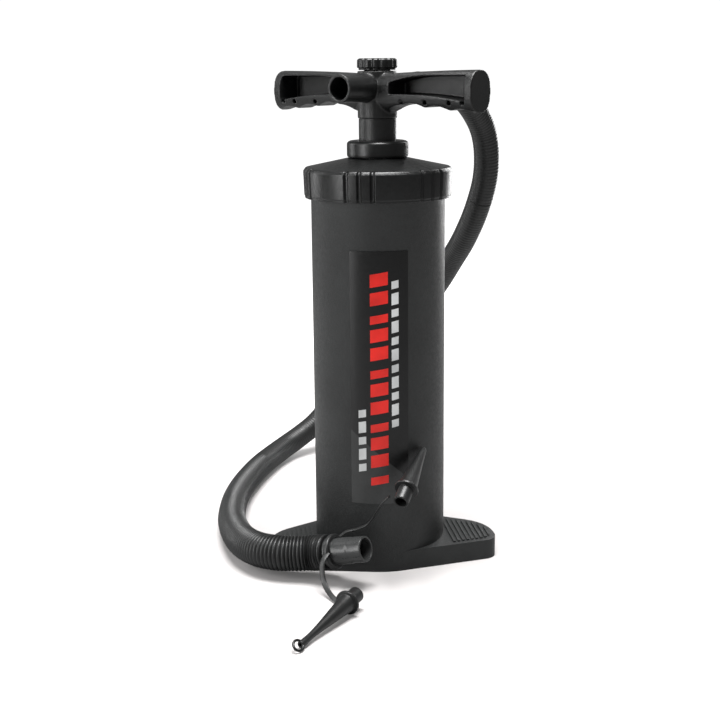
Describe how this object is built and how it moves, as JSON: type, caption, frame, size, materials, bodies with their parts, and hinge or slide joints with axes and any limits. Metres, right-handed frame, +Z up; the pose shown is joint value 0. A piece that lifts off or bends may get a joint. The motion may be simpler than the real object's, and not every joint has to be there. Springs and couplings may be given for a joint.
{
  "type": "double action hand pump",
  "caption": "Tall hand air pump that blows on both strokes, with a foot plate, T handle, ribbed hose and leashed nozzles.",
  "frame": {"origin": "on the floor under the barrel's axis", "axes": "+Z up along the barrel, X along the foot's wings, -Y towards the foot's straight edge and the label"},
  "size_m": [0.2376, 0.4578, 0.3708],
  "materials": {
    "barrel_plastic": "fine-grained black polypropylene with a broad soft sheen",
    "cap_plastic": "satin black moulded plastic, smoother than the barrel",
    "handle_plastic": "fine-grained satin black moulded plastic",
    "rod_plastic": "fine-grained black plastic tube",
    "hose_plastic": "ribbed flexible dark grey plastic with a satin sheen",
    "connector_plastic": "smooth semi-gloss dark grey plastic",
    "leash_rubber": "smooth flexible black rubber",
    "seal_rubber": "black rubber",
    "valve_rubber": "soft red-brown valve rubber",
    "inner_plastic": "natural light grey plastic",
    "screw_steel": "zinc-plated steel",
    "label_film": "thin printed black film with plain red and white bars"
  },
  "bodies": {
    "barrel": {"barrel": "barrel_plastic", "label": "label_film", "hose": "hose_plastic", "hose_on_floor": "hose_plastic", "hose_connector": "connector_plastic", "nozzle_leash": "leash_rubber"},
    "cap_gasket": {"cap_gasket": "seal_rubber"},
    "cap": {"barrel_cap": "cap_plastic", "gland_collar": "cap_plastic", "rod_bushing": "inner_plastic", "rod_seal": "seal_rubber", "top_bumper": "seal_rubber"},
    "piston_seal": {"piston_ring": "seal_rubber"},
    "rod": {"rod_outer_tube": "rod_plastic", "rod_inner_tube": "inner_plastic", "piston_lower": "inner_plastic", "piston_upper": "inner_plastic", "piston_screw_1": "screw_steel", "piston_screw_2": "screw_steel", "piston_screw_3": "screw_steel", "handle": "handle_plastic", "hose_cuff": "hose_plastic"},
    "valve_top_out": {"valve_top_out": "valve_rubber"},
    "valve_top_in": {"valve_top_in": "valve_rubber"},
    "valve_bottom_out": {"valve_bottom_out": "valve_rubber"},
    "valve_bottom_in": {"valve_bottom_in": "valve_rubber"},
    "knob_gasket": {"knob_gasket": "seal_rubber"},
    "knob": {"knob": "handle_plastic"},
    "nozzle_upper": {"nozzle_upper": "connector_plastic"},
    "nozzle_lower": {"nozzle_lower": "connector_plastic"}
  },
  "joints": [
    {"name": "stroke", "type": "slide", "parent": "barrel", "child": "piston_seal", "axis": [0, 0, 1], "range_m": [0, 0.235], "deforming": ["hose"]},
    {"name": "handle_swivel", "type": "hinge", "parent": "piston_seal", "child": "rod", "pos_m": [0, 0, 0.024], "axis": [0, 0, 1], "range_deg": [-30, 30]},
    {"name": "cap_lift", "type": "slide", "parent": "barrel", "child": "cap_gasket", "axis": [0, 0, 1], "range_m": [0, 0.006], "stiffness_N_per_m": 10, "springref_m": 0.09},
    {"name": "cap_turn", "type": "hinge", "parent": "cap_gasket", "child": "cap", "pos_m": [0, 0, 0.29], "axis": [0, 0, 1], "range_deg": [0, 720]},
    {"name": "knob_lift", "type": "slide", "parent": "rod", "child": "knob_gasket", "axis": [0, 0, 1], "range_m": [0, 0.005], "stiffness_N_per_m": 0.5, "springref_m": 0.079},
    {"name": "knob_turn", "type": "hinge", "parent": "knob_gasket", "child": "knob", "pos_m": [0, 0, 0.366], "axis": [0, 0, 1], "range_deg": [0, 720]},
    {"name": "valve_top_out_lift", "type": "slide", "parent": "rod", "child": "valve_top_out", "axis": [0, 0, 1], "range_m": [0, 0.001], "stiffness_N_per_m": 20},
    {"name": "valve_top_in_lift", "type": "slide", "parent": "rod", "child": "valve_top_in", "axis": [0, 0, -1], "range_m": [0, 0.001], "stiffness_N_per_m": 20},
    {"name": "valve_bottom_out_lift", "type": "slide", "parent": "rod", "child": "valve_bottom_out", "axis": [0, 0, -1], "range_m": [0, 0.001], "stiffness_N_per_m": 20},
    {"name": "valve_bottom_in_lift", "type": "slide", "parent": "rod", "child": "valve_bottom_in", "axis": [0, 0, 1], "range_m": [0, 0.001], "stiffness_N_per_m": 20},
    {"name": "nozzle_upper_swing", "type": "hinge", "parent": "barrel", "child": "nozzle_upper", "pos_m": [-0.0036, -0.077, 0.068], "axis": [0, 0, -1], "range_deg": [0, 20]},
    {"name": "nozzle_lower_swing", "type": "hinge", "parent": "barrel", "child": "nozzle_lower", "pos_m": [-0.042, -0.111, 0.0046], "axis": [0, 0, 1], "range_deg": [-20, 20]}
  ],
  "couplings": [
    {"joint": "cap_lift", "follows": "cap_turn", "m_per_rad": 0.000477},
    {"joint": "knob_lift", "follows": "knob_turn", "m_per_rad": 0.000397}
  ]
}
